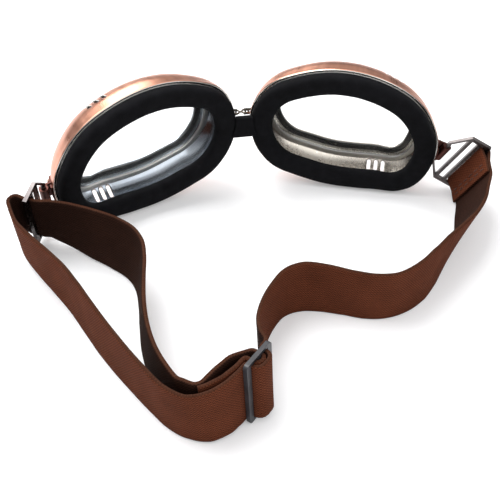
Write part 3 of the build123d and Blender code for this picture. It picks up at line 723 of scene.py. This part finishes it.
def strap_line():
    """The whole strap as one line of places and ways, and where each stretch begins."""
    stretches = [
        ("end", fold_marks(RIGHT_END_FOLD, sewn_end_place())),
        ("lead", table_marks(RIGHT_LENGTH[:5])),
        ("run", table_marks(RIGHT_LENGTH[5:12])),
        ("run_tail", table_marks(RIGHT_LENGTH[12:])),
        ("weave", fold_marks(WEAVE_FOLD, hang_matrix(SLIDER_HANG))),
        ("outer_head", table_marks(OUTER_LENGTH[:2])),
        ("outer", table_marks(OUTER_LENGTH[2:10])),
        ("left_out", table_marks(OUTER_LENGTH[10:])),
        ("left_fold", fold_marks(LEFT_TURN_FOLD, hang_matrix(LEFT_HANG))),
        ("left_in", table_marks(INNER_LENGTH[:1])),
        ("inner", table_marks(INNER_LENGTH[1:8])),
        ("inner_tail", table_marks(INNER_LENGTH[8:])),
        ("loop", fold_marks(LOOP_FOLD, hang_matrix(SLIDER_HANG))),
    ]
    marks, starts = [], {}
    for label, rows in stretches:
        starts[label] = len(marks)
        marks += rows
    starts["stop"] = len(marks) - 1
    parts = [max(1, round((b[0] - a[0]).length / (STRAP_STEP * MM))) for a, b in zip(marks, marks[1:])]
    line = smooth_through([place for place, up in marks], parts)
    leans = []
    for (before, after), count in zip(zip(marks, marks[1:]), parts):
        leans += [before[1].lerp(after[1], step / count).normalized() for step in range(count)]
    leans.append(marks[-1][1])
    first = [sum(parts[:index]) for index in range(len(marks))]
    lengths = [0.0]
    for before, after in zip(line, line[1:]):
        lengths.append(lengths[-1] + (after - before).length)
    return line, leans, lengths, {label: first[index] for label, index in starts.items()}


LINE, LEANS, LENGTHS, STARTS = strap_line()
HALF_FLAT = 12.3
COLUMNS = 14
SELVEDGE_FROM = 10.5
SELVEDGE_SWELL = 0.06
RIPPLE_HEIGHT = 0.05
# The strap's section: out from its middle, up along its width, and 1 outside or 0 inside
SECTION = [(HALF_THICK, HALF_FLAT * (1 - 2 * step / COLUMNS), 1.0) for step in range(COLUMNS + 1)]
SECTION += [(0.5, -12.58, 0.66), (0.0, -12.7, 0.5), (-0.5, -12.58, 0.34)]
SECTION += [(-HALF_THICK, HALF_FLAT * (2 * step / COLUMNS - 1), 0.0) for step in range(COLUMNS + 1)]
SECTION += [(-0.5, 12.58, 0.34), (0.0, 12.7, 0.5), (0.5, 12.58, 0.66)]


def make_strap(label, begin, stop, nodes):
    """One stretch of the strap, from one named start to another."""
    low, high = STARTS[begin], STARTS[stop]
    rings = []
    for index in range(low, high + 1):
        before, after = LINE[max(index - 1, 0)], LINE[min(index + 1, len(LINE) - 1)]
        up = LEANS[index]
        side = up.cross((after - before).normalized()).normalized()
        ring = []
        for across, rise, face in SECTION:
            ripple = noise.noise(Vector((LENGTHS[index] * 90, rise * 0.12, across))) * RIPPLE_HEIGHT
            swell = SELVEDGE_SWELL * (abs(rise) > SELVEDGE_FROM)
            out = across * (1 + swell) + ripple * (abs(across) > 0.4)
            ring.append(LINE[index] + (side * out + up * rise) * MM)
        rings.append(ring)
    bm = bmesh.new()
    order, level = skin(bm, len(SECTION), rings, False)
    lay_uv(bm, "cloth", lambda vert: (LENGTHS[low + vert[level]], SECTION[vert[order]][1] * MM))
    bm.verts.ensure_lookup_table()
    faces = [SECTION[vert[order]][2] for vert in bm.verts]
    made = finish(bm, label, Matrix.Identity(4), [ELASTIC], angle=55)
    attribute = made.data.attributes.new("face", "FLOAT", "POINT")
    attribute.data.foreach_set("value", faces)
    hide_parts(*nodes)
    return made


def make_stitches(label, node_name, places, body):
    """Short thread stitches, each a small rounded bar half sunk in the cloth."""
    bm = bmesh.new()
    for place in places:
        bmesh.ops.create_uvsphere(bm, u_segments=8, v_segments=6, radius=1.0,
                                  matrix=place @ Matrix.Diagonal((0.3, 0.2, 1.35, 1)))
    made = finish(bm, label, Matrix.Identity(4), [THREAD], angle=80)
    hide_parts(node_name)
    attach(made, body)


def stitch_places(base):
    """Two rows of six stitches across the strap, on a face whose normal is the base's Y."""
    return [base @ Matrix.Translation((row * STITCH_ROW, 0.06, (index - 2.5) * STITCH_PITCH))
            for row in (0, 1) for index in range(6)]


def make_link():
    """The figure-of-eight of wire that joins the two clevises."""
    bm = bmesh.new()
    upright = Matrix.Translation((LINK_RING, 0, 0)) @ Matrix.Rotation(radians(90), 4, "X")
    for side in (-1, 1):
        ring = bmesh.ops.create_circle(bm, segments=12, radius=LINK_WIRE, matrix=upright)["verts"]
        wire = ring + list({edge for vert in ring for edge in vert.link_edges})
        bmesh.ops.spin(bm, geom=wire, cent=(0, 0, 0), axis=(0, 0, 1), angle=2 * pi, steps=28, use_merge=True)
        verts = set(ring)
        todo = list(verts)
        while todo:
            for edge in todo.pop().link_edges:
                for vert in edge.verts:
                    if vert not in verts:
                        verts.add(vert)
                        todo.append(vert)
        bmesh.ops.translate(bm, vec=(side * LINK_HALF_PITCH, 0, 0), verts=list(verts))
    bmesh.ops.create_uvsphere(bm, u_segments=16, v_segments=10, radius=0.5,
                              matrix=Matrix.Diagonal((1.1, 1.35, 0.9, 1)))
    place = Matrix.Translation(CHAIN) @ Matrix.Scale(MM, 4)
    made = finish(bm, "nose_wire_link", place, [WIRE_METAL], angle=60)
    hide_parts("nose_link")
    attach(made, "nose_link")


def make_bridge_pad():
    """The foam strip over the nose, softened all round."""
    bm = merged_copy("nose_bridge_pad")
    made = finish(bm, "nose_bridge_foam", Matrix.Identity(4), [FOAM], angle=80)
    cells = made.modifiers.new("cells", "REMESH")
    cells.mode = "VOXEL"
    cells.voxel_size = FOAM_CELL
    apply_all(made)
    soft = bmesh.new()
    soft.from_mesh(made.data)
    middle = CHAIN.x
    for vert in soft.verts:
        reach = vert.co.x - middle
        vert.co.x += max(-1, min(1, reach / 0.002)) * BRIDGE_WIDEN
    for _ in range(5):
        bmesh.ops.smooth_vert(soft, verts=soft.verts, factor=0.5, use_axis_x=True, use_axis_y=True,
                              use_axis_z=True)
    soft.to_mesh(made.data)
    soft.free()
    made.data.shade_smooth()
    made.data.materials.clear()
    made.data.materials.append(FOAM)
    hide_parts("nose_bridge_pad")
    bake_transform(made)


for side, place in (("right", RIGHT_CUP), ("left", LEFT_CUP)):
    make_cup(side, place)
    make_face_pad(side, place)
    dress(side + "_lens", side + "_clear_lens", LENS_CLEAR, bevel=0.15)
    dress(side + "_lens_gasket", side + "_gasket_ring", GASKET, bevel=0.2)
    dress(side + "_lens_retainer", side + "_retainer_ring", RING_METAL, bevel=0.2)
    dress(side + "_pad_plate", side + "_pad_backing_plate", RING_METAL, bevel=0.15)
    dress(side + "_nose_lug", side + "_nose_clevis", WIRE_METAL, bevel=0.2)
    dress(side + "_side_lug", side + "_curled_lug", LUG_METAL, bevel=0.15)
    dress(side + "_lug_rivets", side + "_rivet_heads", RIVET_METAL, bevel=0.28)
    dress(side + "_buckle", side + "_strap_buckle", BUCKLE_METAL, bevel=0.35)
make_link()
make_bridge_pad()
dress("strap_slider", "slider_frame", SLIDER_PAINT, bevel=0.62)

right_end = make_strap("strap_sewn_end", "end", "lead", ["strap_right_end"])
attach(right_end, "right_buckle")
lead = make_strap("strap_right_rise", "lead", "run", ["strap_right_lead"])
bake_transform(lead)
run = make_strap("strap_right_bend", "run", "run_tail", ["strap_right_run"])
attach(run, "right_eyecup")
tail = make_strap("strap_right_tail", "run_tail", "weave", ["strap_right_run"])
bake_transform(tail)
weave = make_strap("strap_through_slider", "weave", "outer_head", ["strap_slider_weave"])
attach(weave, "slider")
head = make_strap("strap_outer_start", "outer_head", "outer", ["strap_outer_band"])
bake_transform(head)
outer = make_strap("strap_outer_side", "outer", "left_out", ["strap_outer_band"])
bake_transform(outer)
turn = make_strap("strap_left_fold", "left_out", "inner", ["strap_left_turn"])
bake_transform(turn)
inner = make_strap("strap_inner_side", "inner", "inner_tail", ["strap_inner_band"])
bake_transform(inner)
inner_tail = make_strap("strap_inner_end", "inner_tail", "loop", ["strap_inner_band"])
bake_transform(inner_tail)
loop = make_strap("strap_slider_loop", "loop", "stop", ["strap_sewn_loop"])
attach(loop, "slider")

sewn_base = sewn_end_place()
outside = stitch_places(sewn_base @ SEWN_STITCHES)
inside = stitch_places(sewn_base @ SEWN_STITCHES_BACK)
make_stitches("right_end_thread", "right_end_stitching", outside + inside, "right_buckle")
loop_base = (hang_matrix(SLIDER_HANG) @ Matrix.Translation((-15.6, 6.01, 0))
             @ Matrix.Rotation(radians(SEWN_LOOP_TURN), 4, "Z") @ Matrix.Translation((0, -0.7, 0))
             @ Matrix.Rotation(pi, 4, "X"))
make_stitches("slider_loop_thread", "sewn_loop_stitching", stitch_places(loop_base), "slider")


# Table, light and camera

def make_table():
    """A white table that keeps the shadow and otherwise shows as white."""
    bm = bmesh.new()
    bmesh.ops.create_grid(bm, x_segments=4, y_segments=4, size=4.0)
    bmesh.ops.translate(bm, vec=(0, 0, -0.00005), verts=bm.verts)
    made, tree, shader = blank("white table", Base_Color=(0.82, 0.82, 0.83, 1), Roughness=0.7)
    shader.inputs["Specular IOR Level"].default_value = 0.2
    path = node(tree, "ShaderNodeLightPath")
    seen = node(tree, "ShaderNodeMath", operation="MAXIMUM")
    lift = node(tree, "ShaderNodeMath", operation="MULTIPLY", in_1=0.22)
    shader.inputs["Emission Color"].default_value = (1, 1, 1, 1)
    link = tree.links.new
    link(path.outputs["Is Camera Ray"], seen.inputs[0])
    link(path.outputs["Is Transmission Ray"], seen.inputs[1])
    link(seen.outputs[0], lift.inputs[0])
    link(lift.outputs[0], shader.inputs["Emission Strength"])
    finish(bm, "table", Matrix.Identity(4), [made])


def make_world():
    """A white tent: paler above, greyer toward the floor."""
    world = bpy.data.worlds.new("white tent")
    world.use_nodes = True
    bpy.context.scene.world = world
    tree = world.node_tree
    back = tree.nodes["Background"]
    place = node(tree, "ShaderNodeTexCoord")
    split = node(tree, "ShaderNodeSeparateXYZ")
    ramp = node(tree, "ShaderNodeValToRGB")
    ramp.color_ramp.elements[0].position = 0.0
    ramp.color_ramp.elements[0].color = (0.10, 0.10, 0.11, 1)
    ramp.color_ramp.elements[1].position = 0.75
    ramp.color_ramp.elements[1].color = (0.95, 0.95, 0.95, 1)
    middle = ramp.color_ramp.elements.new(0.3)
    middle.color = (0.30, 0.30, 0.31, 1)
    path = node(tree, "ShaderNodeLightPath")
    mix = node(tree, "ShaderNodeMix", data_type="RGBA", in_7=(1, 1, 1, 1))
    link = tree.links.new
    link(place.outputs["Generated"], split.inputs[0])
    link(split.outputs[2], ramp.inputs[0])
    link(ramp.outputs[0], mix.inputs[6])
    link(path.outputs["Is Camera Ray"], mix.inputs[0])
    link(mix.outputs[2], back.inputs[0])


def make_lamp(name, place, aim, size, power):
    """A square soft light that faces its aim."""
    lamp = bpy.data.lights.new(name, "AREA")
    lamp.shape = "SQUARE"
    lamp.size = size
    lamp.energy = power
    holder = bpy.data.objects.new(name, lamp)
    way = Vector(aim) - Vector(place)
    holder.matrix_world = Matrix.Translation(place) @ way.to_track_quat("-Z", "Y").to_matrix().to_4x4()
    bpy.context.scene.collection.objects.link(holder)


def make_camera():
    """The photograph's own angle, from behind and above the strap."""
    camera = bpy.data.cameras.new("photo view")
    camera.sensor_fit = "HORIZONTAL"
    camera.angle = radians(34)
    camera.clip_start = 0.01
    holder = bpy.data.objects.new("photo view", camera)
    right = Vector((0.97764, -0.208371, 0.028315))
    up = Vector((0.11447, 0.640288, 0.759558))
    back = Vector((-0.176399, -0.739333, 0.649823))
    turn = Matrix((right, up, back)).transposed().to_4x4()
    holder.matrix_world = Matrix.Translation((-0.067398, -0.233802, 0.219367)) @ turn
    bpy.context.scene.collection.objects.link(holder)
    bpy.context.scene.camera = holder


make_table()
make_world()
make_lamp("tent top", (-0.35, 0.25, 0.9), (0, 0, 0), 0.7, 9.0)
make_lamp("front fill", (0.25, -0.8, 0.7), (0, 0, 0.02), 0.8, 3.0)
make_lamp("back softbox", (-0.25, 0.8, 0.62), (-0.03, 0.06, 0.04), 0.45, 3.4)
make_camera()
bpy.context.scene.view_settings.view_transform = "Standard"
